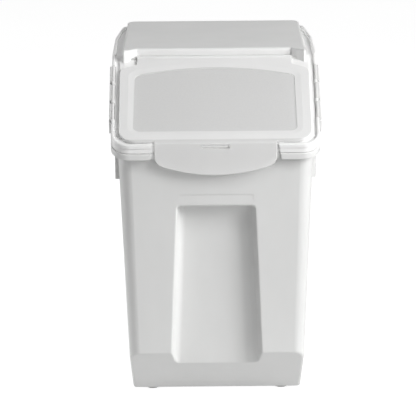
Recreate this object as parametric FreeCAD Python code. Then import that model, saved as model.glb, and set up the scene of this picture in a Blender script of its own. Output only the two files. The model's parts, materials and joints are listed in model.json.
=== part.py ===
"""A slant-top pet food bin: body, clip-on lid, hinged flap and two side latches.

Millimetres. X runs across the bin, Y from the front (-) to the back (+) and Z up.
The origin is on the floor under the middle of the bin.
"""
import FreeCAD
import Part
import math
import os
from FreeCAD import Vector

os.makedirs("parts", exist_ok=True)

# ---------------------------------------------------------------- whole bin
DEPTH = 420.0
FRONT = -DEPTH / 2
REAR = DEPTH / 2
RIM_HALF_FRONT = 138.0
RIM_HALF_REAR = 141.0
RIM_FRONT_Z = 371.5
RIM_REAR_Z = 456.0
SLOPE = 0.43
TOP_Z = 464.0
WALL = 2.6
SHEET = 2.4
FIT_GAP = 0.1
FAR = 170.0

# the rim stops climbing here and runs level to the back
BREAK_Y = FRONT + (RIM_REAR_Z - RIM_FRONT_Z) / SLOPE
BREAK_RADIUS = 40.0
SLOPE_ANGLE = math.atan(SLOPE)
RIM_CORNER_FRONT = 24.0
RIM_CORNER_REAR = 26.0

# the sides draw in a little over this length at the back
TAIL_LENGTH = 100.0
TAIL_INSET = 9.0
TAIL_RADIUS = 120.0

# ---------------------------------------------------------------- body
BODY_BOTTOM = 3.5
FLOOR_THICK = 3.2
BODY_TOP = 470.0
DRAFT = 0.0367
BASE_HALF = 116.1
BASE_FRONT = -187.0
BASE_REAR = 183.7
CORNER_LOW = 14.0
CORNER_HIGH = 19.0
CORNER_HIGH_REAR = 27.0
CREASE_Z = 77.0
EDGE_RADIUS = 4.5
SHELL_INNER_RADIUS = 4.0

# heights below are measured straight down from the rim line
FLANGE_TOP = -12.9
FLANGE_BOTTOM = -15.4
SKIRT_BOTTOM = -21.0
SKIRT_ROUND = 1.2
FLANGE_INSET = 11.4

RECESS_TOP_Z = 285.0
RECESS_HALF_TOP = 52.0
RECESS_HALF_LOW = 62.5
RECESS_LOW_Z = 40.0
RECESS_DEPTH = 20.0
RECESS_SIDE = 6.0
RECESS_HOLLOW_RADIUS = 8.0
RECESS_EDGE_RADIUS = 2.6
RECESS_TOP_RADIUS = 4.5
BROW_TOP_Z = 301.0
BROW_HALF = 50.0
BROW_DEPTH = 0.6

SKIRT_PANEL_FRONT = FRONT + 58.0
SKIRT_PANEL_LENGTH = 120.0
SKIRT_PANEL_HALF = 134.5
SKIRT_PANEL_BOTTOM = 312.0

FOOT_RADIUS = 9.5
FOOT_X = 89.5
FOOT_FRONT_Y = FRONT + 109.0
FOOT_REAR_Y = 158.0
FOOT_SOCKET = 1.0

# ---------------------------------------------------------------- lid frame
FRAME_SKIRT_BOTTOM = -12.3
BEAD_WIDTH = 4.2
BEAD_ROUND = 2.0
BEAD_PROUD = 1.0
BEAD_BOTTOM = -5.4
CHANNEL_TOP = -3.2
CHANNEL_BOTTOM = -6.4
PLINTH_INSET = 10.4
DECK_TOP = -1.4
DECK_BOTTOM = -3.8
MOUTH_HALF = 100.0
MOUTH_FRONT = FRONT + 26.0
MOUTH_REAR = FRONT + 166.0
MOUTH_RADIUS = 20.0
MOUTH_LIP = 8.0

PLATEAU_HALF = 126.0
PLATEAU_FRONT = FRONT + 192.0
PLATEAU_REAR = REAR - 12.0
PLATEAU_RADIUS = 12.0
PLATEAU_CORNER_FRONT = 4.0
PLATEAU_ROUND = 3.4
LIP_OVERHANG = 1.4
LIP_THICK = 10.3

POCKET_HALF = 83.0
POCKET_FLARE = 4.5
POCKET_DEPTH = 3.2
LUG_HALF = 18.0
LUG_FRONT = 2.0
LUG_BOTTOM = 367.8
LUG_TOP = 370.8

# ---------------------------------------------------------------- flap
HINGE_Y = FRONT + 186.3
HINGE_Z = 449.5
BARREL_RADIUS = 5.0
NECK_HALF = 106.5
PIN_RADIUS = 2.5
BORE_RADIUS = 2.55
PIN_INSIDE = 10.0
EAR_HALF = 126.0
EAR_FRONT = FRONT + 176.5
EAR_SET_BACK = FRONT + 190.0
EAR_ROUND = 1.8
TROUGH_FRONT = FRONT + 180.0
TROUGH_FLOOR = 443.2

FLAP_TOP = 2.2
FLAP_BOTTOM = -0.7
FLAP_FRONT = FRONT + 5.0
FLAP_SIDE_GAP = 10.6
FLAP_TOP_EDGE = FRONT + 169.0
FLAP_SHOULDER = FRONT + 159.0
FLAP_CORNER_FRONT = 24.0
FLAP_CORNER_REAR = 14.0
FLAP_ROUND = 0.9
PANEL_DROP = 1.5
PANEL_SLOPE_DROP = 0.9
PANEL_SLOPE_WIDTH = 7.0
PANEL_STEP_WIDTH = 1.3
PANEL_HALF_FRONT = 108.0
PANEL_HALF_REAR = 109.5
PANEL_FRONT = FRONT + 26.5
PANEL_REAR = FRONT + 145.0
PANEL_ARCH = FRONT + 174.0
PANEL_ARCH_RADIUS = 360.0
PANEL_RADIUS = 9.0

TONGUE_HALF = 80.5
TONGUE_FACE = FRONT + 0.3
TONGUE_THICK = 2.2
TONGUE_BOTTOM = 330.3
TONGUE_ARC = 224.0
TONGUE_CORNER = 14.5
BEND_RADIUS = 2.0
SLOT_HALF = 18.5
SLOT_BOTTOM = 366.0
SLOT_TOP = 371.2

# ---------------------------------------------------------------- side latches
LATCH_FRONT = FRONT + 52.0
LATCH_REAR = FRONT + 174.0
LATCH_GAP = 0.5
LATCH_THICK = 2.3
LATCH_AXIS_X = -1.9
LATCH_AXIS_Z = -2.5
LATCH_PIN_RADIUS = 1.25
LATCH_BORE_RADIUS = 1.3
KNUCKLE_RADIUS = 2.3
KNUCKLE_LENGTH = 36.0
KNUCKLE_SPACING = 44.0
KNUCKLE_GAP = 0.6
STRIP_TOP = -1.2
STRIP_ROUND = 1.4
LATCH_TOP = -5.2
LATCH_BOTTOM = -23.0
HOOK_TOP = -19.9
HOOK_THICK = 2.0
HOOK_REACH = 3.6


# ---------------------------------------------------------------- helpers
def rounded_wire(points, radii):
    """A closed wire through the points, each corner rounded by its radius."""
    count = len(points)
    starts = []
    middles = []
    ends = []
    for i in range(count):
        here = points[i]
        back = (points[i - 1] - here).normalize()
        ahead = (points[(i + 1) % count] - here).normalize()
        radius = radii[i]
        if radius <= 0:
            starts.append(here)
            middles.append(None)
            ends.append(here)
            continue
        half = math.acos(max(-1.0, min(1.0, back.dot(ahead)))) / 2
        reach = radius / math.tan(half)
        inward = (back + ahead).normalize()
        centre = here + inward * (radius / math.sin(half))
        starts.append(here + back * reach)
        middles.append(centre - inward * radius)
        ends.append(here + ahead * reach)
    edges = []
    for i in range(count):
        if middles[i] is not None:
            edges.append(Part.Arc(starts[i], middles[i], ends[i]).toShape())
        following = starts[(i + 1) % count]
        if (following - ends[i]).Length > 1e-6:
            edges.append(Part.LineSegment(ends[i], following).toShape())
    return Part.Wire(edges)


def box(x0, x1, y0, y1, z0, z1):
    return Part.makeBox(x1 - x0, y1 - y0, z1 - z0, Vector(x0, y0, z0))


def union(shapes):
    return shapes[0].multiFuse(shapes[1:]).removeSplitter()


def mirrored(shape):
    return shape.mirror(Vector(0, 0, 0), Vector(1, 0, 0))


def rim_z(y):
    """Height of the rim line at the depth y."""
    return min(RIM_REAR_Z, RIM_FRONT_Z + SLOPE * (y - FRONT))


def rim_half(y):
    """Half the width over the rim at the depth y."""
    part = min(1.0, (y - FRONT) / (BREAK_Y - FRONT))
    return RIM_HALF_FRONT + (RIM_HALF_REAR - RIM_HALF_FRONT) * part


def rim_path(offset, near, far):
    """Rim line from front to back in the YZ plane, shifted up by the offset."""
    return [
        Vector(-FAR, near, RIM_FRONT_Z + offset),
        Vector(-FAR, FRONT, RIM_FRONT_Z + offset),
        Vector(-FAR, BREAK_Y, RIM_REAR_Z + offset),
        Vector(-FAR, far, RIM_REAR_Z + offset),
    ]


def slab(top, bottom):
    """All that lies between two offsets from the rim line."""
    near = FRONT - 15
    far = REAR + 15
    points = rim_path(top, near, far) + rim_path(bottom, near, far)[::-1]
    radii = [0, 0, BREAK_RADIUS, 0, 0, BREAK_RADIUS, 0, 0]
    return Part.Face(rounded_wire(points, radii)).extrude(Vector(2 * FAR, 0, 0))


def below(offset):
    """All that lies under the rim line shifted by the offset."""
    near = FRONT - 15
    far = REAR + 15
    points = rim_path(offset, near, far)
    points.append(Vector(-FAR, far, -20))
    points.append(Vector(-FAR, near, -20))
    radii = [0, 0, BREAK_RADIUS, 0, 0, 0]
    return Part.Face(rounded_wire(points, radii)).extrude(Vector(2 * FAR, 0, 0))


def rim_prism(inset, low=290.0, high=490.0):
    """Upright prism over the rim's plan outline, pulled in by the inset."""
    front = RIM_HALF_FRONT - inset
    rear = RIM_HALF_REAR - inset
    tail = rear - TAIL_INSET
    points = [
        Vector(-front, FRONT + inset, low),
        Vector(front, FRONT + inset, low),
        Vector(rear, BREAK_Y, low),
        Vector(rear, REAR - TAIL_LENGTH, low),
        Vector(tail, REAR - inset, low),
        Vector(-tail, REAR - inset, low),
        Vector(-rear, REAR - TAIL_LENGTH, low),
        Vector(-rear, BREAK_Y, low),
    ]
    near_r = max(4.0, RIM_CORNER_FRONT - inset)
    rear_r = max(6.0, RIM_CORNER_REAR - inset)
    side_r = TAIL_RADIUS - inset
    wire = rounded_wire(points, [near_r, near_r, 0, side_r, rear_r, rear_r, side_r, 0])
    return Part.Face(wire).extrude(Vector(0, 0, high - low))


def rim_ring(outer, inner):
    return rim_prism(outer).cut(rim_prism(inner))


def height_over_rim(edge):
    """How far the middle of an edge lies above the rim line."""
    middle = edge.valueAt((edge.FirstParameter + edge.LastParameter) / 2)
    return middle.z - rim_z(middle.y)


def rounded_band(inset, top, bottom, top_radius, bottom_radius):
    """Solid between two offsets of the rim line, with both outer edges rounded."""
    band = rim_prism(inset).common(slab(top, bottom))
    middle = (top + bottom) / 2
    upper = [e for e in band.Edges if is_level(e) and height_over_rim(e) > middle]
    if top_radius > 0:
        band = band.makeFillet(top_radius, upper)
    if bottom_radius > 0:
        lower = [e for e in band.Edges if is_level(e) and height_over_rim(e) < bottom + 1.2]
        band = band.makeFillet(bottom_radius, lower)
    return band


def is_level(edge):
    """False for the upright edges at the corners."""
    bound = edge.BoundBox
    return bound.XLength > 0.01 or bound.YLength > 0.01


def plan_prism(points, radii, low=290.0, high=490.0):
    """Upright prism over a rounded outline given as (x, y) pairs."""
    corners = [Vector(x, y, low) for x, y in points]
    return Part.Face(rounded_wire(corners, radii)).extrude(Vector(0, 0, high - low))


def side_prism(points, radii, x0, x1):
    """Prism across the bin over a rounded outline given as (y, z) pairs."""
    corners = [Vector(x0, y, z) for y, z in points]
    return Part.Face(rounded_wire(corners, radii)).extrude(Vector(x1 - x0, 0, 0))


def set_back(band, top, bottom):
    """Set the front of a skirt back behind the flap's tongue."""
    reach = POCKET_HALF + POCKET_FLARE + SHEET
    wall = box(-reach, reach, FRONT + POCKET_DEPTH - 0.5, FRONT + POCKET_DEPTH + SHEET,
               290, 490).common(slab(top, bottom))
    return band.fuse(wall).cut(pocket(POCKET_DEPTH))


def pocket(depth):
    """Space for the tongue in front of the rim, wider at the bottom."""
    low = RIM_FRONT_Z + SKIRT_BOTTOM - 2
    high = RIM_FRONT_Z + 1
    wide = POCKET_HALF + POCKET_FLARE
    near = FRONT - 5
    points = [Vector(-POCKET_HALF, near, high + 10), Vector(-POCKET_HALF, near, high),
              Vector(-wide, near, low), Vector(wide, near, low),
              Vector(POCKET_HALF, near, high), Vector(POCKET_HALF, near, high + 10)]
    face = Part.Face(rounded_wire(points, [0, 0, 0, 0, 0, 0]))
    return face.extrude(Vector(0, depth + 5, 0))


# ---------------------------------------------------------------- body
def body_outline(z, inset):
    """Horizontal section of the tapered body at the height z."""
    grow = DRAFT * z
    share = z / BODY_TOP
    near_r = CORNER_LOW + (CORNER_HIGH - CORNER_LOW) * share - inset
    rear_r = CORNER_LOW + (CORNER_HIGH_REAR - CORNER_LOW) * share - inset
    half = BASE_HALF + grow - inset
    near = BASE_FRONT - grow + inset
    far = BASE_REAR + grow - inset
    points = [Vector(-half, near, z), Vector(half, near, z),
              Vector(half, far, z), Vector(-half, far, z)]
    return rounded_wire(points, [near_r, near_r, rear_r, rear_r])


def front_y(z):
    """Depth of the body's front face at the height z."""
    return BASE_FRONT - DRAFT * z


def tapered_block(inset, floor_z, radius):
    """The body's outer or inner form, with the slanted front foot cut away."""
    block = Part.makeLoft([body_outline(floor_z, inset), body_outline(BODY_TOP, inset)],
                          True, True)
    shift = inset * math.sqrt(2)
    crease_y = front_y(CREASE_Z)
    low_y = crease_y + CREASE_Z + shift + 60
    wedge = side_prism([(crease_y - 60, CREASE_Z + 60 + shift), (low_y, -60),
                        (crease_y - 60, -60)], [0, 0, 0], -FAR, FAR)
    block = block.cut(wedge)
    edges = [edge for edge in block.Edges if on_foot(edge, floor_z, crease_y, shift)]
    return block.makeFillet(radius, edges)


def on_foot(edge, floor_z, crease_y, shift):
    """True for an edge of the floor or of the slanted front face."""
    on_floor = True
    on_slant = True
    for vertex in edge.Vertexes:
        point = vertex.Point
        on_floor = on_floor and abs(point.z - floor_z) < 0.01
        on_slant = on_slant and abs(point.y - crease_y - CREASE_Z + point.z - shift) < 0.05
    return on_floor or on_slant


def recess_section(z, grow):
    """Plan section of the hollow in the front wall at the height z."""
    share = (RECESS_TOP_Z - z) / (RECESS_TOP_Z - RECESS_LOW_Z)
    half = RECESS_HALF_TOP + (RECESS_HALF_LOW - RECESS_HALF_TOP) * share
    face = front_y(z)
    slope = RECESS_SIDE / RECESS_DEPTH
    mouth = half + grow * math.hypot(1, slope)
    outside = 12.0
    flat = mouth - slope * (RECESS_DEPTH + grow)
    wide = mouth + slope * outside
    points = [
        Vector(-wide, face - outside, z),
        Vector(wide, face - outside, z),
        Vector(flat, face + RECESS_DEPTH + grow, z),
        Vector(-flat, face + RECESS_DEPTH + grow, z),
    ]
    radius = RECESS_HOLLOW_RADIUS - grow
    return rounded_wire(points, [0, 0, radius, radius])


def recess(grow):
    high = RECESS_TOP_Z + grow
    low = BODY_BOTTOM - 20
    form = Part.makeLoft([recess_section(low, grow), recess_section(high, grow)], True, True)
    front = front_y(high) - 2
    top = [e for e in form.Edges if e.BoundBox.ZMin > high - 0.01 and e.BoundBox.YMax > front]
    return form.makeFillet(RECESS_TOP_RADIUS, top)


def brow():
    """Very shallow step in the front wall just above the recess."""
    low = RECESS_TOP_Z + RECESS_EDGE_RADIUS + 0.3
    points = [(front_y(low) - 5, low), (front_y(low), low),
              (front_y(BROW_TOP_Z) + BROW_DEPTH, BROW_TOP_Z), (front_y(low) - 5, BROW_TOP_Z)]
    return side_prism(points, [0, 0, 0, 0], -BROW_HALF, BROW_HALF)


def recess_rim(edge):
    """True for the edges where the recess meets the front face."""
    for vertex in edge.Vertexes:
        point = vertex.Point
        if point.z < CREASE_Z + 2 or point.z > RECESS_TOP_Z + 1:
            return False
        if abs(point.y - front_y(point.z)) > 0.05:
            return False
    return abs(edge.BoundBox.XMax) < 80 and abs(edge.BoundBox.XMin) < 80


def skirt_panel(side):
    """Stiffening panel that hangs from the flange on one side, open underneath."""
    outer = SKIRT_PANEL_HALF
    inner = outer - SHEET
    deep = BASE_HALF + 5
    far = SKIRT_PANEL_FRONT + SKIRT_PANEL_LENGTH
    block = box(deep, outer, SKIRT_PANEL_FRONT, far, SKIRT_PANEL_BOTTOM, 470)
    hollow = box(deep - 1, inner, SKIRT_PANEL_FRONT + SHEET, far - SHEET, 300, 480)
    panel = block.cut(hollow).common(below(FLANGE_TOP - 0.5))
    return panel if side > 0 else mirrored(panel)


def make_body():
    outer = tapered_block(0.0, BODY_BOTTOM, EDGE_RADIUS).cut(recess(0.0))
    outer = outer.makeFillet(RECESS_EDGE_RADIUS, [e for e in outer.Edges if recess_rim(e)])
    outer = outer.cut(brow())
    inner = tapered_block(WALL, BODY_BOTTOM + FLOOR_THICK, SHELL_INNER_RADIUS)
    inner = inner.cut(recess(WALL))
    skirt = rounded_band(0, FLANGE_TOP, SKIRT_BOTTOM, SKIRT_ROUND, 0.8)
    skirt = skirt.cut(rim_prism(SHEET).common(slab(FLANGE_BOTTOM, SKIRT_BOTTOM - 5)))
    skirt = skirt.cut(rim_prism(FLANGE_INSET))
    skirt = set_back(skirt, FLANGE_TOP, SKIRT_BOTTOM)
    shell = outer.common(below(FLANGE_TOP))
    body = union([shell, skirt, skirt_panel(1), skirt_panel(-1)]).cut(inner)
    for x, y in foot_places().values():
        socket = Part.makeCylinder(FOOT_RADIUS + FIT_GAP, FOOT_SOCKET + 1, Vector(x, y, BODY_BOTTOM - 1))
        body = body.cut(socket)
    return body.removeSplitter()


# ---------------------------------------------------------------- feet and seal
def foot_places():
    return {
        "foot_front_left": (-FOOT_X, FOOT_FRONT_Y),
        "foot_front_right": (FOOT_X, FOOT_FRONT_Y),
        "foot_rear_left": (-FOOT_X, FOOT_REAR_Y),
        "foot_rear_right": (FOOT_X, FOOT_REAR_Y),
    }


def make_foot(x, y):
    height = BODY_BOTTOM + FOOT_SOCKET - FIT_GAP
    pad = Part.makeCylinder(FOOT_RADIUS, height, Vector(x, y, 0))
    lower = [e for e in pad.Edges if e.BoundBox.ZMax < 0.01]
    return pad.makeFillet(0.8, lower)


def make_seal():
    return rim_ring(6.2, 10.8).common(slab(CHANNEL_BOTTOM - FIT_GAP, FLANGE_TOP + FIT_GAP))


# ---------------------------------------------------------------- lid frame
def plateau_prism(inset, low, high):
    half = PLATEAU_HALF - inset
    near = PLATEAU_FRONT + inset
    far = PLATEAU_REAR - inset
    radius = PLATEAU_RADIUS - inset
    return plan_prism([(-half, near), (half, near), (half, far), (-half, far)],
                      [PLATEAU_CORNER_FRONT, PLATEAU_CORNER_FRONT, radius, radius], low, high)


def make_plateau():
    """Raised level top behind the flap: a hollow box with a lip over the hinge."""
    low = RIM_REAR_Z + CHANNEL_BOTTOM
    block = plateau_prism(0, TROUGH_FLOOR - SHEET, TOP_Z)
    hollow = plateau_prism(SHEET + LIP_OVERHANG, 400, TOP_Z - SHEET)
    sides = plateau_prism(SHEET, 400, TOP_Z - SHEET)
    behind = box(-FAR, FAR, PLATEAU_FRONT + 30, REAR, 400, TOP_Z - SHEET)
    under_lip = box(-FAR, FAR, PLATEAU_FRONT - 1, PLATEAU_FRONT + LIP_OVERHANG, 400,
                    TOP_Z - LIP_THICK)
    block = block.cut(hollow).cut(sides.common(behind)).cut(under_lip)
    rear_cut = box(-FAR, FAR, PLATEAU_FRONT + LIP_OVERHANG + SHEET, REAR, 400, low)
    top_edges = [e for e in block.Edges if e.BoundBox.ZMin > TOP_Z - 0.01]
    return block.makeFillet(PLATEAU_ROUND, top_edges).cut(rear_cut)


def make_ear(side):
    """Block with a slanting front that carries one end of the flap's hinge."""
    rear = PLATEAU_FRONT + 2 * EAR_ROUND + 1
    near = NECK_HALF + 0.6
    outline = [(near, EAR_SET_BACK), (EAR_HALF - 2, EAR_FRONT), (EAR_HALF, EAR_FRONT + 1.5),
               (EAR_HALF, rear), (near, rear)]
    ear = plan_prism(outline, [2.5, 1.5, 1.5, 0, 0], TROUGH_FLOOR - SHEET, TOP_Z)
    front = [e for e in ear.Edges if e.BoundBox.ZMin > TOP_Z - 0.01 and e.BoundBox.YMin < rear - 0.1
             and e.BoundBox.XMax > near + 0.01]
    ear = ear.makeFillet(EAR_ROUND, front)
    return ear if side > 0 else mirrored(ear)


def make_trough():
    """Lowered floor under the flap's barrel, with a wall up to the deck."""
    near = TROUGH_FRONT - SHEET
    far = PLATEAU_FRONT + LIP_OVERHANG + SHEET
    floor = box(-EAR_HALF, EAR_HALF, near, far, TROUGH_FLOOR - SHEET, TROUGH_FLOOR)
    wall = box(-EAR_HALF, EAR_HALF, near, TROUGH_FRONT, TROUGH_FLOOR - SHEET, 460)
    return floor.fuse(wall.common(below(DECK_TOP)))


def mouth_prism(inset):
    half = MOUTH_HALF - inset
    near = MOUTH_FRONT + inset
    far = MOUTH_REAR - inset
    radius = MOUTH_RADIUS - inset
    return plan_prism([(-half, near), (half, near), (half, far), (-half, far)],
                      [radius, radius, radius, radius])


def latch_notches():
    """Gaps in the bead for the latch knuckles, in the latch's own frame."""
    radius = KNUCKLE_RADIUS + KNUCKLE_GAP
    low = LATCH_AXIS_Z - radius
    cuts = []
    for centre in knuckle_centres():
        half = KNUCKLE_LENGTH / 2 + KNUCKLE_GAP
        hollow = Part.makeCylinder(radius, 2 * half, Vector(LATCH_AXIS_X, centre - half, LATCH_AXIS_Z),
                                   Vector(0, 1, 0))
        above = box(LATCH_AXIS_X - radius, 2, centre - half, centre + half, LATCH_AXIS_Z, 3)
        outside = box(LATCH_AXIS_X, 2, centre - half, centre + half, low, LATCH_AXIS_Z)
        cuts.append(hollow.fuse(above).fuse(outside))
    return cuts


def is_inner_top(edge):
    """True for the inner edge on top of the bead."""
    middle = edge.valueAt((edge.FirstParameter + edge.LastParameter) / 2)
    inset = min(rim_half(middle.y) - abs(middle.x), middle.y - FRONT, REAR - middle.y)
    return height_over_rim(edge) > -1.0 and inset > BEAD_WIDTH - 0.7


def make_lid_frame():
    bead = rounded_band(0, 0, BEAD_BOTTOM, BEAD_ROUND, 0.6).cut(rim_prism(BEAD_WIDTH))
    inner_top = [e for e in bead.Edges if is_level(e) and is_inner_top(e)]
    bead = bead.makeFillet(1.0, inner_top)
    skirt = rounded_band(BEAD_PROUD, BEAD_BOTTOM + 1, FRAME_SKIRT_BOTTOM, 0, 0.6)
    skirt = skirt.cut(rim_prism(BEAD_PROUD + SHEET))
    band = set_back(bead.fuse(skirt), 0, FRAME_SKIRT_BOTTOM)
    reach = POCKET_HALF + POCKET_FLARE
    ledge = box(-reach, reach, FRONT + POCKET_DEPTH, FRONT + POCKET_DEPTH + 2 * SHEET,
                290, 490).common(slab(DECK_TOP, BEAD_BOTTOM))
    front_of_hinge = box(-FAR, FAR, FRONT - 10, PLATEAU_FRONT + LIP_OVERHANG, 290, 490)
    behind_hinge = box(-FAR, FAR, PLATEAU_FRONT + LIP_OVERHANG, REAR + 10, 290, 490)
    channel = rim_prism(1.8).common(slab(CHANNEL_TOP, CHANNEL_BOTTOM))
    channel = channel.cut(rim_prism(PLINTH_INSET + SHEET - 0.5).common(front_of_hinge))
    channel = channel.cut(plateau_prism(SHEET, 400, 490).common(behind_hinge)).cut(pocket(POCKET_DEPTH))
    plinth = rim_ring(PLINTH_INSET, PLINTH_INSET + SHEET).common(slab(DECK_TOP, CHANNEL_BOTTOM))
    plinth = plinth.common(front_of_hinge)
    deck = rim_prism(PLINTH_INSET).common(slab(DECK_TOP, DECK_BOTTOM)).common(front_of_hinge)
    barrel_gap = box(-NECK_HALF - 0.6, NECK_HALF + 0.6, TROUGH_FRONT,
                     PLATEAU_FRONT + LIP_OVERHANG, TROUGH_FLOOR, 490)
    lip = mouth_prism(-SHEET).cut(mouth_prism(0)).common(slab(DECK_TOP, DECK_BOTTOM - MOUTH_LIP))
    deck = deck.fuse(lip).cut(mouth_prism(0)).cut(barrel_gap)
    frame = union([band, ledge, channel, plinth, deck, make_trough(), make_plateau(),
                   make_ear(1), make_ear(-1)])
    above_tongue = box(-POCKET_HALF, POCKET_HALF, FRONT - 5, FRONT + 12, 290, 490)
    behind_bead = box(-reach - 5, reach + 5, FRONT + BEAD_WIDTH, FRONT + 12, 290, 490)
    frame = frame.cut(above_tongue.fuse(behind_bead).common(slab(8, DECK_TOP)))
    lug = side_prism([(FRONT + POCKET_DEPTH + 1, LUG_BOTTOM - 1), (FRONT + POCKET_DEPTH, LUG_BOTTOM - 1),
                      (FRONT + LUG_FRONT, LUG_BOTTOM), (FRONT + LUG_FRONT, LUG_TOP),
                      (FRONT + POCKET_DEPTH + 1, LUG_TOP)], [0, 0, 0, 0.5, 0], -LUG_HALF, LUG_HALF)
    frame = frame.fuse(lug)
    for side in (1, -1):
        frame = frame.cut(flap_bore(side))
        frame = frame.cut(latch_placed(latch_rod(LATCH_BORE_RADIUS, 4.0), side))
        for notch in latch_notches():
            frame = frame.cut(latch_placed(notch, side))
    return frame.removeSplitter()


# ---------------------------------------------------------------- flap
def flap_rod(side, radius, inside, outside):
    """Round rod on the hinge axis, from inside the neck into the ear."""
    length = inside + outside
    start = NECK_HALF - inside
    rod = Part.makeCylinder(radius, length, Vector(start, HINGE_Y, HINGE_Z), Vector(1, 0, 0))
    return rod if side > 0 else mirrored(rod)


def flap_bore(side):
    return flap_rod(side, BORE_RADIUS, PIN_INSIDE + 0.3, PIN_INSIDE + 0.3)


def make_flap_pin(side):
    return flap_rod(side, PIN_RADIUS, PIN_INSIDE, PIN_INSIDE)


def tongue_face(y):
    """Outline of the tongue in an upright plane, with a bowed lower edge."""
    rise = TONGUE_ARC - TONGUE_CORNER
    run = TONGUE_HALF - TONGUE_CORNER
    corner_z = TONGUE_BOTTOM + TONGUE_ARC - math.sqrt(rise ** 2 - run ** 2)
    tilt = math.asin(run / rise)
    meet = Vector(run + TONGUE_CORNER * math.sin(tilt), y, corner_z - TONGUE_CORNER * math.cos(tilt))
    half_way = (math.pi / 2 - tilt) / 2
    middle = Vector(run + TONGUE_CORNER * math.cos(half_way), y,
                    corner_z - TONGUE_CORNER * math.sin(half_way))
    side = Vector(TONGUE_HALF, y, corner_z)
    top = Vector(TONGUE_HALF, y, RIM_FRONT_Z + FLAP_TOP)

    def flip(point):
        return Vector(-point.x, point.y, point.z)

    edges = [
        Part.LineSegment(top, side).toShape(),
        Part.Arc(side, middle, meet).toShape(),
        Part.Arc(meet, Vector(0, y, TONGUE_BOTTOM), flip(meet)).toShape(),
        Part.Arc(flip(meet), flip(middle), flip(side)).toShape(),
        Part.LineSegment(flip(side), flip(top)).toShape(),
        Part.LineSegment(flip(top), top).toShape(),
    ]
    return Part.Face(Part.Wire(edges))


def flap_half(y):
    return rim_half(y) - FLAP_SIDE_GAP


def panel_wire(grow, offset):
    """Outline of the flap's middle, arched at its upper end, on the sloping face."""
    corners = [
        (-PANEL_HALF_FRONT - grow, PANEL_FRONT - grow),
        (PANEL_HALF_FRONT + grow, PANEL_FRONT - grow),
        (PANEL_HALF_REAR + grow, PANEL_REAR + grow),
        (0, PANEL_ARCH + grow),
        (-PANEL_HALF_REAR - grow, PANEL_REAR + grow),
    ]
    points = [Vector(x, y, RIM_FRONT_Z + SLOPE * (y - FRONT) + offset) for x, y in corners]
    radius = PANEL_RADIUS + grow
    return rounded_wire(points, [radius, radius, radius, PANEL_ARCH_RADIUS + grow, radius])


def panel_hollow():
    """The sunken middle of the flap: a gentle slope all round, then a small step."""
    clear = 1.0
    widening = PANEL_SLOPE_WIDTH / PANEL_SLOPE_DROP
    wide = PANEL_STEP_WIDTH + PANEL_SLOPE_WIDTH + widening * clear
    slope = Part.makeLoft([panel_wire(PANEL_STEP_WIDTH, FLAP_TOP - PANEL_SLOPE_DROP),
                           panel_wire(wide, FLAP_TOP + clear)], True, True)
    floor = Part.Face(panel_wire(0, FLAP_TOP - PANEL_DROP)).extrude(Vector(0, 0, PANEL_DROP + clear))
    return slope.fuse(floor)


def on_flap_rim(edge):
    """True for the upper edges round the flap's sides and front corners."""
    middle = edge.valueAt((edge.FirstParameter + edge.LastParameter) / 2)
    outside = abs(middle.x) > TONGUE_HALF + 1 and middle.y < FLAP_TOP_EDGE + 4
    return outside and height_over_rim(edge) > 1.5


def make_flap():
    top_edge = flap_half(FLAP_SHOULDER)
    outline = [(-flap_half(FLAP_FRONT), FLAP_FRONT), (flap_half(FLAP_FRONT), FLAP_FRONT),
               (top_edge, FLAP_SHOULDER), (NECK_HALF, FLAP_TOP_EDGE), (NECK_HALF, HINGE_Y),
               (-NECK_HALF, HINGE_Y), (-NECK_HALF, FLAP_TOP_EDGE), (-top_edge, FLAP_SHOULDER)]
    near = FLAP_CORNER_FRONT
    far = FLAP_CORNER_REAR
    sheet = plan_prism(outline, [near, near, far, 3, 0, 0, 3, far])
    nose = box(-TONGUE_HALF, TONGUE_HALF, TONGUE_FACE, FLAP_FRONT + 2, 290, 490)
    plate = sheet.fuse(nose).common(slab(FLAP_TOP, FLAP_BOTTOM)).removeSplitter()
    rim_edges = [e for e in plate.Edges if is_level(e) and on_flap_rim(e)]
    plate = plate.makeFillet(FLAP_ROUND, rim_edges)
    plate = plate.cut(panel_hollow())
    tongue = tongue_face(TONGUE_FACE).extrude(Vector(0, TONGUE_THICK, 0))
    face_edges = [e for e in tongue.Edges if e.BoundBox.YMax < TONGUE_FACE + 0.01
                  and e.BoundBox.ZMin < RIM_FRONT_Z]
    tongue = tongue.makeFillet(FLAP_ROUND, face_edges)
    bend = side_prism([(TONGUE_FACE - 5, RIM_FRONT_Z - 5), (TONGUE_FACE, RIM_FRONT_Z - 5),
                       (TONGUE_FACE, RIM_FRONT_Z + FLAP_TOP + 0.1),
                       (TONGUE_FACE + 10, RIM_FRONT_Z + FLAP_TOP + 4.5),
                       (TONGUE_FACE + 10, RIM_FRONT_Z + 20), (TONGUE_FACE - 5, RIM_FRONT_Z + 20)],
                      [0, 0, BEND_RADIUS, 0, 0, 0], -TONGUE_HALF - 1, TONGUE_HALF + 1)
    barrel = Part.makeCylinder(BARREL_RADIUS, 2 * NECK_HALF, Vector(-NECK_HALF, HINGE_Y, HINGE_Z),
                               Vector(1, 0, 0))
    slot = box(-SLOT_HALF, SLOT_HALF, FRONT - 5, TONGUE_FACE + TONGUE_THICK, SLOT_BOTTOM, SLOT_TOP)
    flap = union([plate, tongue, barrel]).cut(slot).cut(bend)
    for side in (1, -1):
        flap = flap.cut(flap_bore(side))
    return flap.removeSplitter()


# ---------------------------------------------------------------- side latches
def knuckle_centres():
    return [-KNUCKLE_SPACING, 0.0, KNUCKLE_SPACING]


def latch_length():
    return (LATCH_REAR - LATCH_FRONT) / math.cos(SLOPE_ANGLE)


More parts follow.
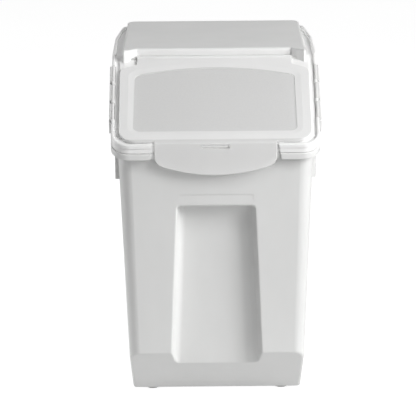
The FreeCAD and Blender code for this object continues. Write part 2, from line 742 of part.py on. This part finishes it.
def latch_placed(shape, side):
    """Move a shape from the latch's own frame onto the sloping rim edge."""
    middle = (LATCH_FRONT + LATCH_REAR) / 2
    origin = Vector(rim_half(middle), middle, rim_z(middle))
    low = Vector(rim_half(LATCH_FRONT), LATCH_FRONT, rim_z(LATCH_FRONT))
    along = (origin - low).normalize()
    across = (Vector(1, 0, 0) - along * along.x).normalize()
    up = across.cross(along)
    turn = FreeCAD.Rotation(across, along, up, "XYZ")
    placed = shape.copy()
    placed.Placement = FreeCAD.Placement(origin, turn)
    return placed if side > 0 else mirrored(placed)


def latch_rod(radius, extra):
    """Rod on the latch axis, in the latch's own frame."""
    length = 2 * KNUCKLE_SPACING + KNUCKLE_LENGTH + 2 * extra + 8
    return Part.makeCylinder(radius, length, Vector(LATCH_AXIS_X, -length / 2, LATCH_AXIS_Z),
                             Vector(0, 1, 0))


def make_latch(side):
    half = latch_length() / 2
    outer = LATCH_GAP + LATCH_THICK
    plate = box(LATCH_GAP, outer, -half, half, LATCH_BOTTOM, LATCH_TOP)
    hook = box(-HOOK_REACH, outer, -half, half, HOOK_TOP - HOOK_THICK, HOOK_TOP)
    pieces = [plate, hook]
    for centre in knuckle_centres():
        start = centre - KNUCKLE_LENGTH / 2
        end = centre + KNUCKLE_LENGTH / 2
        pieces.append(Part.makeCylinder(KNUCKLE_RADIUS, KNUCKLE_LENGTH,
                                        Vector(LATCH_AXIS_X, start, LATCH_AXIS_Z), Vector(0, 1, 0)))
        pieces.append(box(LATCH_AXIS_X, outer, start, end, -4.6, STRIP_TOP))
        pieces.append(box(LATCH_GAP, outer, start, end, LATCH_TOP - 1, STRIP_TOP))
    latch = union(pieces)
    corners = [e for e in latch.Edges if is_end_corner(e, half, outer)]
    latch = latch.makeFillet(3.0, corners)
    crests = [e for e in latch.Edges if is_crest(e, outer)]
    latch = latch.makeFillet(STRIP_ROUND, crests)
    latch = latch.cut(latch_rod(LATCH_BORE_RADIUS, 6.0))
    return latch_placed(latch, side)


def is_end_corner(edge, half, outer):
    """True for the lower corners of the latch plate, seen from the side."""
    bound = edge.BoundBox
    across = bound.XLength > LATCH_THICK - 0.1 and bound.YLength < 0.01 and bound.ZLength < 0.01
    at_end = abs(abs(bound.YMin) - half) < 0.01
    return across and at_end and bound.ZMin < LATCH_BOTTOM + 0.01 and abs(bound.XMax - outer) < 0.01


def is_crest(edge, outer):
    """True for the long outer edges on top of the strips over the knuckles."""
    bound = edge.BoundBox
    along = bound.YLength > KNUCKLE_LENGTH - 1 and bound.XMin > outer - 0.01
    return along and bound.ZMin > STRIP_TOP - 0.01


def make_latch_pin(side):
    return latch_placed(latch_rod(LATCH_PIN_RADIUS, 0.0), side)


# ---------------------------------------------------------------- build
nodes = {
    "bin_body": make_body(),
    "lid_frame": make_lid_frame(),
    "rim_seal": make_seal(),
    "flap": make_flap(),
    "flap_pin_left": make_flap_pin(-1),
    "flap_pin_right": make_flap_pin(1),
    "side_latch_left": make_latch(-1),
    "side_latch_right": make_latch(1),
    "latch_pin_left": make_latch_pin(-1),
    "latch_pin_right": make_latch_pin(1),
}
for name, (x, y) in foot_places().items():
    nodes[name] = make_foot(x, y)

for name, shape in nodes.items():
    solids = shape.Solids
    print(name, "solids", len(solids), "valid", shape.isValid(), "volume cm3",
          round(shape.Volume / 1000, 1))
    shape.exportStep("parts/" + name + ".step")
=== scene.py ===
import json
import math

import bpy
from mathutils import Matrix, Vector


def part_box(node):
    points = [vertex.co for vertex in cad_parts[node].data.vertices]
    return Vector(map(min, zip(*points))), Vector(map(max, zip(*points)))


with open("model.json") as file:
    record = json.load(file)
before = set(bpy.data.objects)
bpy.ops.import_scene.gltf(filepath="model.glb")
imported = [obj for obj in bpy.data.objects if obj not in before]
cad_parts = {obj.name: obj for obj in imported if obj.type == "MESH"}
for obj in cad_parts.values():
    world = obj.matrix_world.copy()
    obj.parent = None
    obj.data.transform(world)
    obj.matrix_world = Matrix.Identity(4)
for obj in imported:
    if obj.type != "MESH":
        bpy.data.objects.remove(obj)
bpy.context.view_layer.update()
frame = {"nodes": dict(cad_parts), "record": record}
NODES = frame["nodes"]

# A slant-top pet food bin in a pale studio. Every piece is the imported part's own mesh, and
# this script gives each one its plastic or rubber. Lengths are in metres.

FLAP_LOW, FLAP_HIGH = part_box("flap")
LID_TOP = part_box("lid_frame")[1][2]

# ---------------------------------------------------------------- the flap
# the sunken middle: its sides, its straight foot and its bowed top edge
WINDOW_HALF = FLAP_HIGH[0] - 0.0212
WINDOW_TOP = FLAP_HIGH[1] - 0.0297
WINDOW_FOOT = FLAP_LOW[1] + 0.0262
WINDOW_BOW = 1.39
WINDOW_CORNER = 0.009
WINDOW_SOFT = 0.0012

# where the flap bends down into its tongue
TONGUE_START = FLAP_LOW[1] + 0.0097
TONGUE_SOFT = 0.004

# how opaque the three zones of the flap are
BORDER_ALPHA = 0.86
MIDDLE_ALPHA = 0.72
TONGUE_ALPHA = 0.62

# ---------------------------------------------------------------- the lid
# height over which the painted highlight on the lid's edges gives way to the body's white on its wide
# top
LID_TOP_START = LID_TOP - 0.0034
LID_TOP_END = LID_TOP - 0.0002

# ---------------------------------------------------------------- colours, from low to high
BODY_WHITE = ((0.745, 0.748, 0.74), (0.785, 0.787, 0.78))
LATCH_WHITE = ((0.74, 0.742, 0.735), (0.77, 0.772, 0.765))
PIN_WHITE = ((0.60, 0.60, 0.59), (0.64, 0.64, 0.63))
# painted highlight: the pale white painted on the lid's edges and lip
LID_EDGE_PAINTED_HIGHLIGHT = ((0.90, 0.90, 0.895), (0.94, 0.94, 0.935))
FLAP_BORDER_WHITE = ((0.93, 0.93, 0.925), (0.96, 0.96, 0.955))
# frosting grain, painted darker as painted shade of the bin's inside seen through the flap
FLAP_FROST_AND_SHADE = ((0.84, 0.84, 0.835), (0.88, 0.88, 0.875))
SEAL_GREY = ((0.50, 0.50, 0.49), (0.56, 0.56, 0.55))
FOOT_GREY = ((0.42, 0.42, 0.415), (0.48, 0.48, 0.475))
PAPER = ((0.34, 0.34, 0.34), (0.36, 0.36, 0.36))

# ---------------------------------------------------------------- surface detail, noise scales per metre
FLOW_SCALE = 14
FLOW_STRETCH = (1.0, 1.0, 0.45)
GRAIN_SCALE = 1400
GRAIN_HEIGHT = 0.00008
WAVE_SCALE = 30
WAVE_HEIGHT = 0.0006
FROST_SCALE = 420
RUBBER_PATCH_SCALE = 60
RUBBER_GRAIN_SCALE = 900
RUBBER_GRAIN_HEIGHT = 0.0002
PAPER_SCALE = 3
PLASTIC_IOR = 1.49

# ---------------------------------------------------------------- studio light levels
AMBIENT_FRONT = 0.06
AMBIENT_BEHIND = 0.46
REFLECTED = 0.5
FLOOR_GLOW_NEAR = 0.42
FLOOR_GLOW_FAR = 0.1
FLOOR_GLOW_ON_CAMERA = 0.85
POOL_START = 0.35
POOL_END = 1.1
LIGHT_AIM = (0, 0, 0.23)

# ---------------------------------------------------------------- camera
CAMERA_AIM = (0, 0, 0.225)
CAMERA_DISTANCE = 3.2
CAMERA_ELEVATION = 14.91
CAMERA_AZIMUTH = -0.31
CAMERA_ROLL = -0.42
CAMERA_LENS = 195.3
CAMERA_SENSOR = 36
CAMERA_SHIFT = (-0.0174, 0.0085)

FLOOR_SIZE = 30
BLEND_FIRST = 6
BLEND_SECOND = 7
BLEND_RESULT = 2


# ---------------------------------------------------------------- node helpers
class Nodes:
    """A short way to build and join the nodes of one material."""

    def __init__(self, name):
        self.material = bpy.data.materials.new(name)
        self.material.use_nodes = True
        self.tree = self.material.node_tree
        self.tree.nodes.clear()
        self.out = self.tree.nodes.new("ShaderNodeOutputMaterial")
        self.shader = self.tree.nodes.new("ShaderNodeBsdfPrincipled")
        self.join(self.shader, "BSDF", self.out, "Surface")
        self.place = self.tree.nodes.new("ShaderNodeTexCoord")

    def new(self, kind, **settings):
        node = self.tree.nodes.new(kind)
        for key, value in settings.items():
            setattr(node, key, value)
        return node

    def join(self, source, output, target, socket):
        self.tree.links.new(source.outputs[output], target.inputs[socket])

    def axes(self):
        """The object's own coordinates as separate X, Y and Z, in metres."""
        axes = self.new("ShaderNodeSeparateXYZ")
        self.join(self.place, "Object", axes, "Vector")
        return axes

    def noise(self, scale, detail=3.0, roughness=0.5, stretch=(1, 1, 1)):
        """Noise over the object's own coordinates."""
        mapping = self.new("ShaderNodeMapping")
        mapping.inputs["Scale"].default_value = stretch
        self.join(self.place, "Object", mapping, "Vector")
        noise = self.new("ShaderNodeTexNoise")
        noise.inputs["Scale"].default_value = scale
        noise.inputs["Detail"].default_value = detail
        noise.inputs["Roughness"].default_value = roughness
        self.join(mapping, "Vector", noise, "Vector")
        return noise

    def ramp(self, noise, colours, start=0.3, end=0.7):
        """Spread a noise between two colours."""
        ramp = self.new("ShaderNodeValToRGB")
        for element, position, colour in zip(ramp.color_ramp.elements, (start, end), colours):
            element.position = position
            element.color = (*colour, 1)
        self.join(noise, "Fac", ramp, "Fac")
        return ramp

    def spread(self, source, output, low, high):
        """Map a 0 to 1 value onto a narrow range."""
        span = self.new("ShaderNodeMapRange")
        span.inputs["To Min"].default_value = low
        span.inputs["To Max"].default_value = high
        self.join(source, output, span, "Value")
        return span

    def math(self, operation, first, second=None):
        """Maths on numbers or (node, output) pairs; gives a (node, output) pair."""
        node = self.new("ShaderNodeMath", operation=operation)
        for slot, value in enumerate((first, second)):
            if isinstance(value, tuple):
                self.tree.links.new(value[0].outputs[value[1]], node.inputs[slot])
            elif value is not None:
                node.inputs[slot].default_value = value
        return node, "Value"

    def band(self, source, start, end):
        """Smooth step from 0 at the start to 1 at the end."""
        span = self.new("ShaderNodeMapRange", interpolation_type="SMOOTHSTEP")
        span.inputs["From Min"].default_value = start
        span.inputs["From Max"].default_value = end
        self.join(source[0], source[1], span, "Value")
        return span, "Result"

    def bump(self, noise, height, strength):
        bump = self.new("ShaderNodeBump")
        bump.inputs["Distance"].default_value = height
        bump.inputs["Strength"].default_value = strength
        self.join(noise, "Fac", bump, "Height")
        return bump

    def overlay(self, mask, colour):
        """Lay a second colour over the base colour where the mask is 1."""
        first = self.shader.inputs["Base Color"].links[0].from_node
        tint = self.new("ShaderNodeMix", data_type="RGBA")
        self.join(mask[0], mask[1], tint, "Factor")
        self.join(first, "Color", tint, BLEND_FIRST)
        self.join(colour, "Color", tint, BLEND_SECOND)
        self.join(tint, BLEND_RESULT, self.shader, "Base Color")


# ---------------------------------------------------------------- materials
def moulded_plastic(name, colours, rough_low, rough_high):
    """Moulded polypropylene: faint flow marks, fine satin grain and uneven gloss."""
    m = Nodes(name)
    flow = m.noise(FLOW_SCALE, 4, 0.55, FLOW_STRETCH)
    grain = m.noise(GRAIN_SCALE, 2, 0.6)
    waves = m.noise(WAVE_SCALE, 2, 0.5)
    m.join(m.ramp(flow, colours), "Color", m.shader, "Base Color")
    m.join(m.spread(waves, "Fac", rough_low, rough_high), "Result", m.shader, "Roughness")
    fine = m.bump(grain, GRAIN_HEIGHT, 0.35)
    broad = m.bump(waves, WAVE_HEIGHT, 0.12)
    m.join(fine, "Normal", broad, "Normal")
    m.join(broad, "Normal", m.shader, "Normal")
    m.shader.inputs["IOR"].default_value = PLASTIC_IOR
    return m


def lid_plastic():
    """Lid plastic with a painted highlight: its edges are painted paler than its wide top, which keeps
    the body's greyer white.
    """
    # the lid is painted all over in the pale highlight colour, and only its wide top is painted back to
    # the body's white
    m = moulded_plastic("lid_plastic", LID_EDGE_PAINTED_HIGHLIGHT, 0.28, 0.36)
    top = m.band((m.axes(), "Z"), LID_TOP_START, LID_TOP_END)
    m.overlay(top, m.ramp(m.noise(FLOW_SCALE, 4, 0.55), BODY_WHITE))
    return m


def window_mask(m, axes):
    """1 inside the flap's sunken middle, with rounded corners, and 0 on its border."""
    square = m.math("MULTIPLY", (axes, "X"), (axes, "X"))
    bowed = m.math("ADD", m.math("MULTIPLY", square, WINDOW_BOW), (axes, "Y"))
    above = m.math("SUBTRACT", bowed, WINDOW_TOP - WINDOW_CORNER)
    below = m.math("SUBTRACT", WINDOW_FOOT + WINDOW_CORNER, (axes, "Y"))
    along = m.math("MAXIMUM", m.math("MAXIMUM", above, below), 0.0)
    outside = m.math("SUBTRACT", m.math("ABSOLUTE", (axes, "X")), WINDOW_HALF - WINDOW_CORNER)
    across = m.math("MAXIMUM", outside, 0.0)
    reach = m.math("ADD", m.math("MULTIPLY", along, along), m.math("MULTIPLY", across, across))
    return m.band(m.math("SQRT", reach), WINDOW_CORNER + WINDOW_SOFT, WINDOW_CORNER)


def frosted_plastic():
    """Translucent flap: a glossy border, a thinner tongue and a finely frosted middle, painted darker as
    painted shade of the bin's dark inside behind it.
    """
    m = moulded_plastic("frosted_plastic", FLAP_BORDER_WHITE, 0.26, 0.32)
    axes = m.axes()
    middle = window_mask(m, axes)
    tongue = m.band((axes, "Y"), TONGUE_START, TONGUE_START - TONGUE_SOFT)
    # painted shade: the middle is painted greyer than the border for the dark inside of the bin behind
    # it, with a fine frosting grain
    m.overlay(middle, m.ramp(m.noise(FROST_SCALE, 3, 0.7), FLAP_FROST_AND_SHADE))
    less = m.math("ADD", m.math("MULTIPLY", middle, BORDER_ALPHA - MIDDLE_ALPHA),
                  m.math("MULTIPLY", tongue, BORDER_ALPHA - TONGUE_ALPHA))
    alpha = m.math("SUBTRACT", BORDER_ALPHA, less)
    m.join(alpha[0], alpha[1], m.shader, "Alpha")
    return m


def rubber(name, colours):
    """Soft moulded rubber: matte, slightly patchy and grainy."""
    m = Nodes(name)
    patches = m.noise(RUBBER_PATCH_SCALE, 3, 0.6)
    grain = m.noise(RUBBER_GRAIN_SCALE, 2, 0.6)
    m.join(m.ramp(patches, colours), "Color", m.shader, "Base Color")
    m.join(m.spread(grain, "Fac", 0.7, 0.85), "Result", m.shader, "Roughness")
    m.join(m.bump(grain, RUBBER_GRAIN_HEIGHT, 0.5), "Normal", m.shader, "Normal")
    return m


# one material for each slot of the record
PAINT = {
    "white_plastic": moulded_plastic("white_plastic", BODY_WHITE, 0.3, 0.38),
    "lid_plastic": lid_plastic(),
    "frosted_plastic": frosted_plastic(),
    "latch_plastic": moulded_plastic("latch_plastic", LATCH_WHITE, 0.28, 0.36),
    "pin_plastic": moulded_plastic("pin_plastic", PIN_WHITE, 0.25, 0.35),
    "seal_rubber": rubber("seal_rubber", SEAL_GREY),
    "foot_rubber": rubber("foot_rubber", FOOT_GREY),
}


def paint_node(name, slot):
    node = NODES[name]
    node.data.materials.clear()
    node.data.materials.append(PAINT[slot].material)


for entry in frame["record"]["subparts"]:
    paint_node(entry["node"], entry["material_slot"])


# ---------------------------------------------------------------- stage
def make_floor():
    """White paper with a soft pool of light around the bin; it is near white on camera."""
    bpy.ops.mesh.primitive_plane_add(size=FLOOR_SIZE, location=(0, 0, 0))
    floor = bpy.context.object
    floor.name = "floor"
    m = Nodes("floor_paper")
    m.join(m.ramp(m.noise(PAPER_SCALE), PAPER), "Color", m.shader, "Base Color")
    m.shader.inputs["Roughness"].default_value = 0.9
    m.shader.inputs["Emission Color"].default_value = (1, 1, 1, 1)
    away = m.new("ShaderNodeVectorMath", operation="LENGTH")
    m.join(m.place, "Object", away, "Vector")
    pool = m.band((away, "Value"), POOL_END, POOL_START)
    near = m.spread(pool[0], pool[1], FLOOR_GLOW_FAR, FLOOR_GLOW_NEAR)
    path = m.new("ShaderNodeLightPath")
    glow = m.spread(path, "Is Camera Ray", FLOOR_GLOW_FAR, FLOOR_GLOW_ON_CAMERA)
    m.join(near, "Result", glow, "To Min")
    m.join(glow, "Result", m.shader, "Emission Strength")
    floor.data.materials.append(m.material)


def make_world():
    """White on camera; as a light, a dim room with a pale backdrop behind the bin."""
    world = bpy.data.worlds.new("studio")
    bpy.context.scene.world = world
    world.use_nodes = True
    tree = world.node_tree
    shade = tree.nodes["Background"]
    shade.inputs["Color"].default_value = (1, 1, 1, 1)
    place = tree.nodes.new("ShaderNodeTexCoord")
    axes = tree.nodes.new("ShaderNodeSeparateXYZ")
    tree.links.new(place.outputs["Generated"], axes.inputs["Vector"])
    room = tree.nodes.new("ShaderNodeMapRange")
    room.inputs["From Min"].default_value = -0.2
    room.inputs["From Max"].default_value = 0.6
    room.inputs["To Min"].default_value = AMBIENT_FRONT
    room.inputs["To Max"].default_value = AMBIENT_BEHIND
    tree.links.new(axes.outputs["Y"], room.inputs["Value"])
    path = tree.nodes.new("ShaderNodeLightPath")
    level = room
    for ray, strength in (("Is Glossy Ray", REFLECTED), ("Is Camera Ray", 1.0)):
        switch = tree.nodes.new("ShaderNodeMapRange")
        switch.inputs["To Max"].default_value = strength
        tree.links.new(path.outputs[ray], switch.inputs["Value"])
        tree.links.new(level.outputs["Result"], switch.inputs["To Min"])
        level = switch
    tree.links.new(level.outputs["Result"], shade.inputs["Strength"])


def away_from(azimuth, elevation):
    """Unit vector towards a light or camera; azimuth 0 is the front and 90 the right."""
    a = math.radians(azimuth)
    e = math.radians(elevation)
    return Vector((math.sin(a) * math.cos(e), -math.cos(a) * math.cos(e), math.sin(e)))


def soft_box(name, azimuth, elevation, distance, width, height, power):
    """Area light aimed at the middle of the bin."""
    data = bpy.data.lights.new(name, "AREA")
    data.shape = "RECTANGLE"
    data.size = width
    data.size_y = height
    data.energy = power
    lamp = bpy.data.objects.new(name, data)
    bpy.context.scene.collection.objects.link(lamp)
    back = away_from(azimuth, elevation)
    lamp.location = Vector(LIGHT_AIM) + back * distance
    lamp.rotation_euler = (-back).to_track_quat("-Z", "Y").to_euler()


def make_camera():
    """The catalogue view: from the front, a little above the rim, with a long lens."""
    roll = math.radians(CAMERA_ROLL)
    back = away_from(CAMERA_AZIMUTH, CAMERA_ELEVATION)
    right = Vector((0, 0, 1)).cross(back).normalized()
    up = back.cross(right)
    across = right * math.cos(roll) + up * math.sin(roll)
    upward = up * math.cos(roll) - right * math.sin(roll)
    data = bpy.data.cameras.new("camera")
    data.sensor_width = CAMERA_SENSOR
    data.lens = CAMERA_LENS
    data.shift_x, data.shift_y = CAMERA_SHIFT
    camera = bpy.data.objects.new("camera", data)
    bpy.context.scene.collection.objects.link(camera)
    turn = Matrix((across, upward, back)).transposed().to_4x4()
    camera.matrix_world = Matrix.Translation(Vector(CAMERA_AIM) + back * CAMERA_DISTANCE) @ turn
    bpy.context.scene.camera = camera


make_floor()
make_world()
soft_box("key", azimuth=56, elevation=30, distance=2.6, width=1.2, height=1.3, power=60)
soft_box("strip", azimuth=10, elevation=58, distance=2.4, width=1.4, height=0.3, power=7)
soft_box("front", azimuth=30, elevation=6, distance=2.6, width=0.8, height=0.8, power=5.5)
soft_box("left", azimuth=-100, elevation=10, distance=2.4, width=0.8, height=1.6, power=28)
make_camera()
bpy.context.scene.view_settings.view_transform = "Standard"
